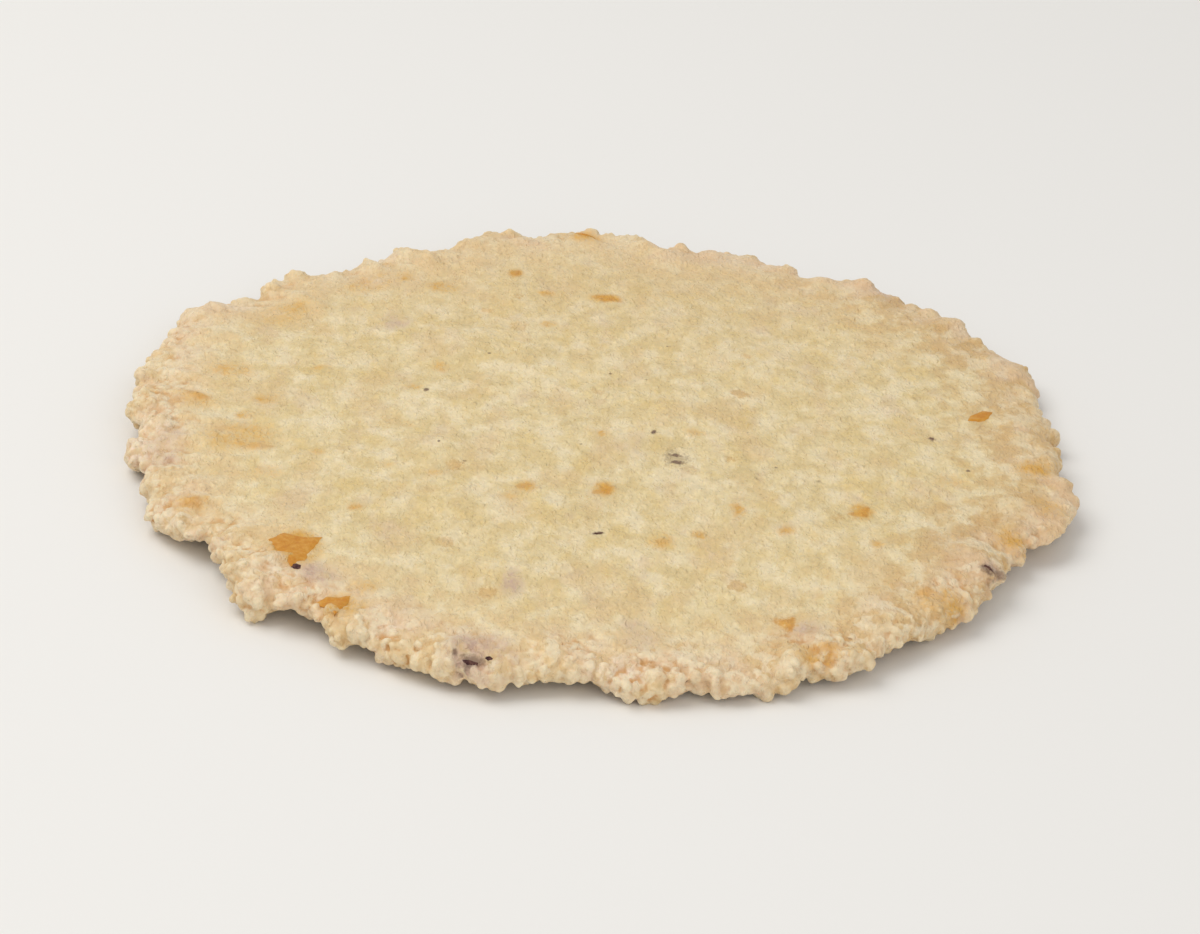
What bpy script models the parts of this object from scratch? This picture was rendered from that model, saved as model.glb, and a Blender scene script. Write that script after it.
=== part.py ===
"""Japanese rice cracker: a thin baked disc of puffed rice dough with a burst, beaded rim.

One solid, in metres, +Z up. It lies on its underside, and the origin is the centre of the
bottom of its bounding box. The disc is a dough sheet that was pressed between two hot plates:
both faces are nearly flat, with low blisters, and the dough that ran out of the press has
popped into rounded beads all round the edge.
"""

import math
import random

import bmesh
import bpy
from mathutils import Vector

# Sheet
SHEET_RADIUS = 0.0498
SHEET_THICKNESS = 0.0026
EDGE_THICKNESS = 0.0030  # the sheet swells a little where it left the press
EDGE_SWELL_WIDTH = 0.0080
EDGE_ROUNDING = 0.0016  # how far the rounded edge reaches past the flat of the face

# Outline, as shares of the radius: (waves round the edge, amplitude, phase in degrees)
OUTLINE_WAVES = (
    (2, 0.018, 332),
    (3, 0.019, 245),
    (5, 0.008, 250),
    (6, 0.006, 115),
    (7, 0.004, 25),
    (23, 0.004, 170),
    (31, 0.003, 20),
)

# Lobes where the dough ran out furthest, and the notches between them:
# (degrees round from +X, half width in degrees, how far it reaches out, or in if negative)
OUTLINE_LOBES = (
    (7, 7, -0.0009),
    (24, 8, 0.0018),
    (38, 6, 0.0008),
    (51, 4, 0.0008),
    (66, 5, 0.0010),
    (74, 5, 0.0019),
    (84, 4, -0.0008),
    (95, 4, 0.0021),
    (107, 5, 0.0019),
    (117, 4, -0.0016),
    (129, 5, -0.0018),
    (139, 6, 0.0010),
    (154, 7, 0.0020),
    (168, 6, 0.0006),
    (184, 7, -0.0008),
    (206, 9, 0.0018),
    (214, 4, -0.0014),
    (228, 5, 0.0012),
    (241, 3, 0.0012),
    (251, 4, 0.0014),
    (260, 5, 0.0016),
    (270, 5, -0.0014),
    (282, 6, -0.0004),
    (291, 4, 0.0008),
    (303, 6, 0.0012),
    (322, 6, 0.0006),
    (350, 9, 0.0030),
)

# Warp of the whole sheet, from cooling off the plate
FRONT_BACK_DROP = 0.0011  # how far the front and back edges hang below the middle
SIDE_DROP = 0.0009  # the same at the left and right ends
RIM_WAVES = ((3, 0.00030, 60), (5, 0.00022, 200), (8, 0.00015, 20))  # height in metres

# Low blisters on the two faces
BLISTERS_PER_FACE = 70
BLISTER_REACH = 0.92  # share of the sheet's radius within which the blisters lie
BLISTER_RADIUS = (0.0030, 0.0065)
BLISTER_HEIGHT = (0.00012, 0.00040)

# Popped beads of the rim: (count, smallest radius, largest radius, reach in over the face)
BEAD_CROPS = (
    (46, 0.0018, 0.0027, 0.0014),
    (140, 0.0013, 0.0019, 0.0036),
    (100, 0.0010, 0.0014, 0.0050),
)
BEAD_SINK = 0.35  # share of a bead's radius that its centre lies below the surface
BEAD_UNDER_SHARE = 0.55  # reach in over the underside, as a share of that over the top face
BEAD_SOFTENING = 0.45  # share of the way that a rim point moves to the mean of its neighbours

# Mesh
RIM_SEGMENTS = 276
RIM_BAND_WIDTH = 0.0058  # finely divided band on each face, inside the rounded edge
RIM_BAND_ROWS = 4
EDGE_ROWS = 5
HALF_RING_INSET = 0.00725  # where each face drops to half as many points round
MIDDLE_RINGS = 11
MIDDLE_RING_STEP = 6  # each ring out from the centre has this many points more
MIDDLE_REACH = 0.965  # the outermost of them, as a share of the way out to the half ring

FOOT_CUT = 0.0006  # the lowest beads are flat by this much where the cracker lay on its tray
SEED = 20


def wave_sum(waves, angle):
    """Sum of cosine waves round the disc at an angle."""
    return sum(
        size * math.cos(count * angle + math.radians(phase))
        for count, size, phase in waves
    )


def lobe_reach(angle):
    """How far the lobes and notches move the outline at an angle."""
    reach = 0.0
    for middle, half_width, height in OUTLINE_LOBES:
        away = (math.degrees(angle) - middle + 180) % 360 - 180
        share = away / half_width
        if abs(share) < 1:
            reach += height * (1 - share**2) ** 2
    return reach


def sheet_reach(angle, inset):
    """Distance from the centre to the place that lies inset from the edge of the sheet.

    The lobes fade out across the rim band, so the face inside it is nearly round.
    """
    fade = 1 - min(max(inset, 0.0) / RIM_BAND_WIDTH, 1.0)
    outline = SHEET_RADIUS * (1 + wave_sum(OUTLINE_WAVES, angle))
    return outline + fade * lobe_reach(angle) - EDGE_ROUNDING - inset


def middle_height(x, y):
    """Height of the sheet's middle layer, above that of an unwarped sheet."""
    share = math.hypot(x, y) / SHEET_RADIUS
    drop = (
        SIDE_DROP * (x / SHEET_RADIUS) ** 2 + FRONT_BACK_DROP * (y / SHEET_RADIUS) ** 2
    )
    return share**2 * wave_sum(RIM_WAVES, math.atan2(y, x)) - drop


def half_thickness(inset):
    """Half the thickness of the dough at a distance in from the edge."""
    swell = max(0.0, 1 - inset / EDGE_SWELL_WIDTH)
    return (SHEET_THICKNESS + (EDGE_THICKNESS - SHEET_THICKNESS) * swell) / 2


def scatter_blisters(dice):
    """Low round blisters over one face, as (x, y, radius, height)."""
    blisters = []
    for _ in range(BLISTERS_PER_FACE):
        angle = dice.uniform(0, math.tau)
        reach = SHEET_RADIUS * BLISTER_REACH * math.sqrt(dice.random())
        blisters.append(
            (
                reach * math.cos(angle),
                reach * math.sin(angle),
                dice.uniform(*BLISTER_RADIUS),
                dice.uniform(*BLISTER_HEIGHT),
            )
        )
    return blisters


def blister_lift(blisters, x, y):
    """Height that the blisters add to a face at a point."""
    lift = 0.0
    for centre_x, centre_y, radius, height in blisters:
        share = math.hypot(x - centre_x, y - centre_y) / radius
        if share < 1:
            lift += height * (1 - share**2) ** 2
    return lift


def rim_profile():
    """Rows across the rim, from the top face round the edge to the underside.

    Each row is (inset, side): the distance in from the outline, negative where the rounded
    edge bulges past it, and the height as a share of half the thickness.
    """
    band = [
        (RIM_BAND_WIDTH * (1 - row / RIM_BAND_ROWS), 1.0) for row in range(RIM_BAND_ROWS)
    ]
    edge = []
    for row in range(EDGE_ROWS + 1):
        turn = math.pi / 2 - math.pi * row / EDGE_ROWS
        edge.append((-EDGE_ROUNDING * math.cos(turn), math.sin(turn)))
    return band + edge + [(inset, -side) for inset, side in reversed(band)]


def sheet_point(angle, inset, side, blisters):
    """A point on the surface of the sheet before its beads are added."""
    reach = sheet_reach(angle, inset)
    x = reach * math.cos(angle)
    y = reach * math.sin(angle)
    face = blisters["top"] if side > 0 else blisters["bottom"]
    thickness = half_thickness(max(inset, 0.0)) + blister_lift(face, x, y)
    return Vector((x, y, middle_height(x, y) + side * thickness))


def rim_normal(angle, turn):
    """Outward direction at the rim: turn runs from the top face (90) to the underside (-90)."""
    return Vector(
        (
            math.cos(turn) * math.cos(angle),
            math.cos(turn) * math.sin(angle),
            math.sin(turn),
        )
    )


def place_bead(dice, reach_in, blisters):
    """A random place on the rim as (point, outward direction)."""
    angle = dice.uniform(0, math.tau)
    top_run = reach_in
    edge_run = math.pi * EDGE_THICKNESS / 2
    under_run = reach_in * BEAD_UNDER_SHARE
    place = dice.uniform(-top_run, edge_run + under_run)
    if place < 0:
        return sheet_point(angle, -place, 1.0, blisters), rim_normal(angle, math.pi / 2)
    if place > edge_run:
        inset = place - edge_run
        return sheet_point(angle, inset, -1.0, blisters), rim_normal(
            angle, -math.pi / 2
        )
    turn = math.pi / 2 - math.pi * place / edge_run
    point = sheet_point(
        angle, -EDGE_ROUNDING * math.cos(turn), math.sin(turn), blisters
    )
    return point, rim_normal(angle, turn)


def scatter_beads(dice, blisters):
    """The popped beads as (centre, radius), largest first."""
    beads = []
    for count, smallest, largest, reach_in in BEAD_CROPS:
        for _ in range(count):
            point, outward = place_bead(dice, reach_in, blisters)
            radius = dice.uniform(smallest, largest)
            beads.append((point - outward * radius * BEAD_SINK, radius))
    return beads


def bead_lift(point, outward, beads):
    """How far a surface point moves out to lie on the outermost bead that covers it."""
    lift = 0.0
    for centre, radius in beads:
        offset = point - centre
        if offset.length_squared > 4 * radius**2:
            continue
        along = offset.dot(outward)
        inside = along**2 - offset.length_squared + radius**2
        if inside > 0:
            lift = max(lift, math.sqrt(inside) - along)
    return lift


def rim_rings(mesh, blisters, beads):
    """Closed rings of vertices across the rim, pushed out over the beads."""
    rings = []
    for inset, side in rim_profile():
        turn = math.asin(max(-1.0, min(1.0, side)))
        ring = []
        for step in range(RIM_SEGMENTS):
            angle = math.tau * step / RIM_SEGMENTS
            point = sheet_point(angle, inset, side, blisters)
            outward = rim_normal(angle, turn)
            point += outward * bead_lift(point, outward, beads)
            ring.append(mesh.verts.new(point))
        rings.append(ring)
    return rings


def soften_beads(mesh, rings):
    """Rounds the beads off, leaving the rings at the edges of the rim band where they are."""
    inner_points = [vertex for ring in rings[1:-1] for vertex in ring]
    bmesh.ops.smooth_vert(
        mesh,
        verts=inner_points,
        factor=BEAD_SOFTENING,
        use_axis_x=True,
        use_axis_y=True,
        use_axis_z=True,
    )


def face_rings(mesh, side, blisters):
    """Rings of vertices over one face, from next to the rim band in to the centre point."""
    rings = []
    sizes = [(RIM_SEGMENTS // 2, 1.0)]  # points round, and share of the way out
    for ring in range(MIDDLE_RINGS, 0, -1):
        sizes.append((MIDDLE_RING_STEP * ring, MIDDLE_REACH * ring / MIDDLE_RINGS))
    for count, share in sizes:
        ring = []
        for step in range(count):
            angle = math.tau * step / count
            inset = HALF_RING_INSET + sheet_reach(angle, HALF_RING_INSET) * (1 - share)
            ring.append(mesh.verts.new(sheet_point(angle, inset, side, blisters)))
        rings.append(ring)
    height = middle_height(0, 0) + side * half_thickness(SHEET_RADIUS)
    rings.append([mesh.verts.new((0, 0, height))])
    return rings


def join_rings(mesh, outer, inner, facing_up):
    """Triangles between two rings that may differ in their number of points."""
    o = i = 0
    while o < len(outer) or i < len(inner):
        next_outer = (o + 1) / len(outer)
        next_inner = (i + 1) / len(inner) if len(inner) > 1 else math.inf
        a = outer[o % len(outer)]
        b = inner[i % len(inner)]
        if next_outer <= next_inner:
            corners = (a, outer[(o + 1) % len(outer)], b)
            o += 1
        else:
            corners = (a, inner[(i + 1) % len(inner)], b)
            i += 1
        mesh.faces.new(corners if facing_up else corners[::-1])
        if len(inner) == 1 and o == len(outer):
            break


def rest_on_floor(mesh):
    """Centres the cracker on the origin and presses its lowest beads flat at height zero."""
    xs, ys, zs = zip(*(v.co for v in mesh.verts), strict=True)
    middle = Vector(((min(xs) + max(xs)) / 2, (min(ys) + max(ys)) / 2, 0))
    floor = min(zs) + FOOT_CUT
    for vertex in mesh.verts:
        vertex.co -= middle
        vertex.co.z = max(vertex.co.z - floor, 0.0)


def baked_dough():
    """Pale yellow, matt baked dough."""
    material = bpy.data.materials.new("baked_dough")
    material.use_nodes = True
    shader = material.node_tree.nodes["Principled BSDF"]
    shader.inputs["Base Color"].default_value = (0.72, 0.57, 0.33, 1)
    shader.inputs["Roughness"].default_value = 0.6
    shader.inputs["Metallic"].default_value = 0.0
    return material


def make_cracker():
    """Builds the cracker as one closed mesh object."""
    dice = random.Random(SEED)
    blisters = {"top": scatter_blisters(dice), "bottom": scatter_blisters(dice)}
    beads = scatter_beads(dice, blisters)
    mesh = bmesh.new()
    rim = rim_rings(mesh, blisters, beads)
    for upper, lower in zip(rim, rim[1:], strict=False):
        join_rings(mesh, lower, upper, True)
    soften_beads(mesh, rim)
    for side, rim_edge in ((1.0, rim[0]), (-1.0, rim[-1])):
        rings = [rim_edge] + face_rings(mesh, side, blisters)
        for outer, inner in zip(rings, rings[1:], strict=False):
            join_rings(mesh, outer, inner, side > 0)
    rest_on_floor(mesh)
    data = bpy.data.meshes.new("cracker")
    mesh.to_mesh(data)
    mesh.free()
    data.materials.append(baked_dough())
    data.shade_smooth()
    cracker = bpy.data.objects.new("cracker", data)
    bpy.context.scene.collection.objects.link(cracker)
    return cracker


def clear_scene():
    for item in list(bpy.data.objects):
        bpy.data.objects.remove(item)


clear_scene()
make_cracker()
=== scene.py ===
# Looks of a thin rice cracker: puffed dough with a beaded rim, shrimp flakes and dark specks.
# Everything is in metres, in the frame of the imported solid, unless a note says millimetres.
import math
import random

import bpy
from mathutils import Matrix, Vector, kdtree


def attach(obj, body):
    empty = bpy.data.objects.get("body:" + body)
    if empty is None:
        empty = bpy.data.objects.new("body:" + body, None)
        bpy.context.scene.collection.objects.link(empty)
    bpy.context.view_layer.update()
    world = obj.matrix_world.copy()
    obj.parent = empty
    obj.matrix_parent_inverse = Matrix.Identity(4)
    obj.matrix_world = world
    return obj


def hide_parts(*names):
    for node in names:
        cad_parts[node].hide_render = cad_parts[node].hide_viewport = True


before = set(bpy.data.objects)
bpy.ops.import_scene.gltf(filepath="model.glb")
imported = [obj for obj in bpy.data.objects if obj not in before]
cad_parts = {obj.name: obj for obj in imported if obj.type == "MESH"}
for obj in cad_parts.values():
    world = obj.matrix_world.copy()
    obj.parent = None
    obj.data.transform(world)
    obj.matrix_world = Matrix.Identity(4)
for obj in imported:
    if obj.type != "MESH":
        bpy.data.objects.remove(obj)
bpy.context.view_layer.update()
mm = 0.001


def pick(piece):
    bpy.ops.object.select_all(action="DESELECT")
    piece.select_set(True)
    bpy.context.view_layer.objects.active = piece


def applyModifier(piece, kind, **settings):
    pick(piece)
    modifier = piece.modifiers.new(kind, kind)
    for name, value in settings.items():
        setattr(modifier, name, value)
    bpy.ops.object.modifier_apply(modifier=modifier.name)


def smoothOver(piece, rounds, **settings):
    applyModifier(piece, "SMOOTH", factor=0.5, iterations=rounds, **settings)


def joinInto(piece, others):
    pick(piece)
    for other in others:
        other.select_set(True)
    bpy.ops.object.join()


def copyOf(piece, name):
    twin = piece.copy()
    twin.data = piece.data.copy()
    twin.name = name
    bpy.context.scene.collection.objects.link(twin)
    return twin


def fixPlace(piece):
    pick(piece)
    bpy.ops.object.transform_apply(location=True, rotation=True, scale=True)


def fade(value, start, end):
    # 0 at start, 1 at end, with a soft turn at both
    share = min(max((value - start) / (end - start), 0), 1)
    return share * share * (3 - 2 * share)


def mix(low, high, share):
    return low + (high - low) * share


def angleOf(place):
    # degrees round the cracker, anticlockwise from +x
    return math.degrees(math.atan2(place.y, place.x)) % 360


# Textures for the Displace modifiers

def cloudTexture(name, size, depth=2):
    texture = bpy.data.textures.new(name, "CLOUDS")
    texture.noise_scale = size
    texture.noise_depth = depth
    return texture


def cellTexture(name, size):
    texture = bpy.data.textures.new(name, "VORONOI")
    texture.noise_scale = size
    texture.distance_metric = "DISTANCE_SQUARED"
    return texture


# The dough sheet

sheetLook = {
    "grid": 0.5 * mm,  # voxel size that takes the solid's facets away
    "faceSmoothing": 30,
    "rimSmoothing": 6,
    "rimDraw": 0.7 * mm,  # how far the rim is drawn in, to leave room for its puffs
    "rimWidth": 7 * mm,
    "faceStart": 3 * mm,  # distance from the edge where the face's own smoothing sets in
    "weldGap": 0.001 * mm,
}


def sectorOf(place):
    return int(angleOf(place)) % 360


def outlineOf(piece):
    # the furthest reach of the piece in each degree round
    reaches = [0.0] * 360
    for vertex in piece.data.vertices:
        sector = sectorOf(vertex.co)
        reaches[sector] = max(reaches[sector], vertex.co.xy.length)
    return reaches


def insetOf(place, outline):
    # distance in from the edge
    return outline[sectorOf(place)] - place.xy.length


def groupByInset(piece, name, outline, start, end, beaded=False):
    # a vertex group whose weight goes from 0 to 1 between two distances from the edge
    group = piece.vertex_groups.new(name=name)
    least = 0.01
    for vertex in piece.data.vertices:
        weight = fade(insetOf(vertex.co, outline), start, end)
        if beaded and weight > least:
            weight *= mix(puffLook["calm"], 1, beadinessAt(angleOf(vertex.co)))
        if weight > least:
            group.add([vertex.index], weight, "REPLACE")


def makeSheet():
    sheet = copyOf(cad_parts["cracker"], "bakedDough")
    sheet.data.name = "bakedDough"
    sheet.parent = None
    for mark in list(sheet.keys()):  # the solid's own marks, which aren't the copy's
        del sheet[mark]
    sheet.data.materials.clear()
    pick(sheet)
    bpy.ops.object.mode_set(mode="EDIT")
    bpy.ops.mesh.select_all(action="SELECT")
    bpy.ops.mesh.remove_doubles(threshold=sheetLook["weldGap"])
    bpy.ops.object.mode_set(mode="OBJECT")
    applyModifier(sheet, "REMESH", mode="VOXEL", voxel_size=sheetLook["grid"])
    outline = outlineOf(sheet)
    groupByInset(sheet, "face", outline, sheetLook["faceStart"], sheetLook["rimWidth"])
    groupByInset(sheet, "rim", outline, sheetLook["rimWidth"], 0)
    smoothOver(sheet, sheetLook["rimSmoothing"])
    smoothOver(sheet, sheetLook["faceSmoothing"], vertex_group="face")
    drawIn = {"strength": -sheetLook["rimDraw"], "mid_level": 0, "vertex_group": "rim"}
    applyModifier(sheet, "DISPLACE", **drawIn)
    return sheet, outline


# The puffs of the rim

puffLook = {
    "seed": 11,
    "kinds": 4,  # grains modelled, each copied many times
    "lumps": {"size": 0.9, "height": 0.18},  # of a grain one unit in radius
    # Three crops, from the large puffs to the small ones: the most wanted, their radius, how far
    # in over the face they reach, how far from the edge they start, how deep they are sunk at the
    # edge and where the skin lies flat (in radii), how close two may stand (in radii), and how
    # much the beadiness counts.
    "crops": [
        {
            "count": 180,
            "radius": (1.0 * mm, 1.8 * mm),
            "reach": 2.0 * mm,
            "start": 0,
            "sinks": (0.58, 0.9),
            "crowd": 0.8,
            "fussy": 0.55,
        },
        {
            "count": 1500,
            "radius": (0.5 * mm, 0.86 * mm),
            "reach": 4.2 * mm,
            "start": 0,
            "sinks": (0.34, 0.8),
            "crowd": 0.74,
            "fussy": 1,
        },
        {
            "count": 1800,
            "radius": (0.28 * mm, 0.5 * mm),
            "reach": 7 * mm,
            "start": 0.8 * mm,
            "sinks": (0.45, 0.8),
            "crowd": 0.85,
            "fussy": 1,
        },
    ],
    "margin": 1 * mm,  # how far past the reach places are gathered
    "fullShare": 0.3,  # share of the reach in which the puffs stand closest
    "calm": 0.25,  # share of the reach and of the pebbles left where nothing is beaded
    "sparse": 0.3,  # share of the puffs left there
    "calmSink": 0.4,  # how much deeper they are sunk there, in radii
    "underside": -0.4,  # upward part of the normal below which the skin is the underside
    "pressed": 0.5,  # share of the reach left there, where it was pressed on the plate
    "turn": 2 * mm,  # width in which the edge turns over into the face
    "flatShrink": 0.3,  # how much smaller the puffs are over the face
    "jitter": 0.2,  # millimetres
    "stretch": (0.88, 1.12),
    "firstGrid": 0.42 * mm,  # voxel size of the skin over the large puffs
    "grid": 0.17 * mm,  # voxel size that grows all the puffs into one skin
    "quickGrid": 0.30 * mm,
    "smoothing": 2,
    # how beaded the edge is, from 0 to 1, at some angles round
    "beadiness": [
        (0, 0.25),
        (20, 0.1),
        (60, 0.15),
        (100, 0.25),
        (125, 0.25),
        (150, 0.4),
        (163, 0.8),
        (175, 1.0),
        (300, 1.0),
        (325, 0.75),
        (345, 0.4),
    ],
}


def beadinessAt(angle):
    stops = puffLook["beadiness"]
    stops = stops + [(stops[0][0] + 360, stops[0][1])]
    for (start, low), (end, high) in zip(stops, stops[1:]):
        if start <= angle < end:
            return low + (high - low) * (angle - start) / (end - start)
    return stops[0][1]


def modelPuffs():
    # lumpy grains of popped dough, one unit in radius, each kind a little longer and flatter
    lumps = puffLook["lumps"]
    puffs = []
    for kind in range(puffLook["kinds"]):
        bpy.ops.object.select_all(action="DESELECT")
        bpy.ops.mesh.primitive_ico_sphere_add(subdivisions=3, radius=1)
        puff = bpy.context.object
        aside = 3 * kind  # so that each meets another part of the texture
        bpy.ops.object.mode_set(mode="EDIT")
        bpy.ops.transform.resize(value=(1.0 + 0.1 * kind, 1.0, 0.95 - 0.05 * kind))
        bpy.ops.transform.translate(value=(aside, 0, 0))
        bpy.ops.object.mode_set(mode="OBJECT")
        texture = cloudTexture("puffLumps", lumps["size"], 0)
        applyModifier(puff, "DISPLACE", texture=texture, strength=lumps["height"])
        pick(puff)
        bpy.ops.object.mode_set(mode="EDIT")
        bpy.ops.transform.translate(value=(-aside, 0, 0))
        bpy.ops.object.mode_set(mode="OBJECT")
        puffs.append(puff)
    return puffs


def neighbours(cubes, key):
    # what was laid in a cube of space and in the cubes round it
    steps = (-1, 0, 1)
    for stepX in steps:
        for stepY in steps:
            for stepZ in steps:
                yield from cubes.get((key[0] + stepX, key[1] + stepY, key[2] + stepZ), [])


def scatterPuffs(base, outline, crop, puffs, dice, made):
    # copies of the puffs over the edge of the base, kept apart from those of the same crop
    look = puffLook
    cubes = {}
    cell = crop["radius"][1] * 2
    places = [
        (vertex.co.copy(), vertex.normal.copy(), insetOf(vertex.co, outline))
        for vertex in base.data.vertices
    ]
    band = [place for place in places if place[2] < crop["reach"] + look["margin"]]
    dice.shuffle(band)
    copies = []
    for spot, outward, inset in band:
        if len(copies) == crop["count"]:
            break
        if inset < crop["start"]:
            continue
        beadiness = 1 - crop["fussy"] * (1 - beadinessAt(angleOf(spot)))
        reach = crop["reach"] * mix(look["calm"], 1, beadiness)
        if outward.z < look["underside"]:
            reach *= look["pressed"]
        chance = fade(inset, reach, look["fullShare"] * reach) * mix(look["sparse"], 1, beadiness)
        if dice.random() > chance:
            continue
        size = dice.uniform(*crop["radius"])
        jitter = look["jitter"]
        spot = spot + Vector([dice.uniform(-jitter, jitter) * mm for _ in range(3)])
        key = tuple(int(math.floor(part / cell)) for part in spot)
        near = neighbours(cubes, key)
        if any((spot - other).length < crop["crowd"] * (size + wide) for other, wide in near):
            continue
        cubes.setdefault(key, []).append((spot, size))
        twin = copyOf(dice.choice(puffs), "puff")
        level = abs(outward.z) * fade(inset, 0, look["turn"])  # 1 where the skin lies flat
        deep = mix(*crop["sinks"], level) + look["calmSink"] * (1 - beadiness)
        size *= 1 - look["flatShrink"] * level
        twin.location = spot - outward * size * deep
        twin.rotation_euler = [dice.uniform(0, math.tau) for _ in range(3)]
        twin.scale = [size * dice.uniform(*look["stretch"]) for _ in range(3)]
        copies.append(twin)
        made.append((twin.location.copy(), size, dice.random()))
    return copies


# Low folds and wrinkles of the skin: x, y, half length, half width, half height in millimetres,
# turn and tilt in degrees. First the right end, then the left end and the far side, then the near
# right. The last ten are the plump pillows along the far left edge.
foldLook = [
    (46.8, -13, 4.2, 3, 0.7, 70, -6),
    (45.7, -0.2, 5, 1.6, 0.5, 100, 0),
    (-44.1, 5.8, 5, 1.1, 0.85, 160, 0),
    (-44.8, 1.4, 4.5, 1, 0.85, 170, 0),
    (-42.8, -3.8, 5.5, 1.1, 0.85, 176, 0),
    (-43.3, -8.6, 4, 1, 0.85, 182, 0),
    (-41.5, -11.9, 6, 1.1, 0.85, 184, 0),
    (-42.1, -16.4, 4.5, 1.1, 0.85, 190, 0),
    (-39.8, -20.6, 5, 1, 0.85, 196, 0),
    (-38.9, -25.5, 4, 1.1, 0.85, 203, 0),
    (-33.8, -33.6, 4.5, 1.1, 0.85, 212, 0),
    (-28.8, -37.7, 4, 1.1, 0.85, 222, 0),
    (-40.3, 15.8, 4.5, 1.2, 0.85, 150, 0),
    (-34.1, 26.3, 4.5, 1.3, 0.85, 138, 0),
    (-19.5, 39.8, 4, 2.2, 0.6, 20, 0),
    (33.4, -31.6, 3, 1, 0.5, -38, 0),
    (23, -39.8, 3, 1, 0.5, -56, 0),
    (-44.4, 23.9, 1.9, 1.7, 1.5, 152, 0),
    (-41.4, 26.6, 1.6, 1.4, 1.4, 146, 0),
    (-38.6, 29, 1.7, 1.5, 1.3, 142, 0),
    (-31.6, 33.6, 1.6, 1.3, 1.3, 135, 0),
    (-27.6, 35.6, 2.2, 1.5, 1.4, 128, 0),
    (-21.5, 38.3, 2, 1.3, 1.2, 120, 0),
    (-16.9, 43.2, 2.3, 1.6, 1.4, 20, 0),
    (-10.8, 44.4, 2, 1.5, 1.3, 5, 0),
    (-4, 46, 2.2, 1.6, 1.6, 0, 0),
    (3.2, 45.4, 1.9, 1.4, 1.3, -5, 0),
]


def layFolds(dough, puffs):
    # each fold is a long puff that lies half sunk in the skin
    above = 20 * mm
    copies = []
    for x, y, halfLength, halfWidth, halfHeight, turn, tilt in foldLook:
        hit, spot, outward, index = dough.ray_cast((x * mm, y * mm, above), (0, 0, -1))
        twin = copyOf(puffs[0], "fold")
        twin.location = spot - outward * halfHeight * mm * 0.5
        twin.rotation_euler = (0, math.radians(tilt), math.radians(turn))
        twin.scale = (halfLength * mm, halfWidth * mm, halfHeight * mm)
        copies.append(twin)
    return copies


def growPuffs(dough, outline):
    # the large puffs and the folds grow into one skin first, and the small ones stand on that
    dice = random.Random(puffLook["seed"])
    puffs = modelPuffs()
    made = []
    firstCrop, *laterCrops = puffLook["crops"]
    large = scatterPuffs(dough, outline, firstCrop, puffs, dice, made)
    joinInto(dough, large + layFolds(dough, puffs))
    applyModifier(dough, "REMESH", mode="VOXEL", voxel_size=puffLook["firstGrid"])
    smoothOver(dough, puffLook["smoothing"])
    small = []
    for crop in laterCrops:
        small += scatterPuffs(dough, outline, crop, puffs, dice, made)
    joinInto(dough, small)
    print("large puffs", len(large), "small puffs", len(small))
    for puff in puffs:
        bpy.data.objects.remove(puff)
    return made


# The relief of the baked skin

reliefLook = {
    "swell": {"size": 7 * mm, "height": 0.3 * mm},
    "dimples": {"size": 1.8 * mm, "height": 0.32 * mm},
    # in a band along the edge: gone at the first distance from it, full at the second
    "pebbles": {"size": 1.1 * mm, "height": 0.26 * mm, "level": 0.3, "band": (13 * mm, 3 * mm)},
    "most": 196000,  # triangles in the finished piece
    "quickMost": 120000,
    "evenOut": 16,  # rounds of smoothing that give the skin without its beads
    "insetRange": 20 * mm,  # the distance from the edge that the marks reach to
}


def bakeSkin(dough, outline):
    grid = puffLook["grid"]
    applyModifier(dough, "REMESH", mode="VOXEL", voxel_size=grid)
    smoothOver(dough, puffLook["smoothing"])
    dough.vertex_groups.clear()
    pebbles = reliefLook["pebbles"]
    groupByInset(dough, "edgeBand", outline, *pebbles["band"], beaded=True)
    for name in ("swell", "dimples"):
        layer = reliefLook[name]
        texture = cloudTexture(name, layer["size"])
        applyModifier(dough, "DISPLACE", texture=texture, strength=layer["height"])
    applyModifier(
        dough,
        "DISPLACE",
        texture=cellTexture("pebbles", pebbles["size"]),
        strength=-pebbles["height"],
        mid_level=pebbles["level"],
        vertex_group="edgeBand",
    )
    for vertex in dough.data.vertices:
        vertex.co.z = max(vertex.co.z, 0)  # flat where it lies
    triangles = sum(len(face.vertices) - 2 for face in dough.data.polygons)
    most = reliefLook["most"]
    print("skin triangles", triangles)
    ratio = min(1, most / triangles)
    applyModifier(dough, "DECIMATE", ratio=ratio, use_collapse_triangulate=True)
    dough.vertex_groups.clear()
    pick(dough)
    bpy.ops.object.shade_smooth()


def markRelief(dough, outline, puffs):
    # red: height over the smoothed skin, in steps of 1 mm about one half
    # green: a tone of its own for each puff
    # blue: distance in from the edge, as a share of the range; alpha: how beaded the edge is
    smooth = copyOf(dough, "smoothed")
    smoothOver(smooth, reliefLook["evenOut"])
    tree = kdtree.KDTree(len(puffs))
    for index, (centre, size, tone) in enumerate(puffs):
        tree.insert(centre, index)
    tree.balance()
    relief = dough.data.color_attributes.new("relief", "FLOAT_COLOR", "POINT")
    for vertex, low, mark in zip(dough.data.vertices, smooth.data.vertices, relief.data):
        height = (vertex.co - low.co).dot(vertex.normal) / mm
        centre, index, away = tree.find(vertex.co)
        tone = puffs[index][2]
        inset = max(insetOf(vertex.co, outline) / reliefLook["insetRange"], 0)
        mark.color = (0.5 + height, tone, min(inset, 1), beadinessAt(angleOf(vertex.co)))
    bpy.data.objects.remove(smooth)


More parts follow.
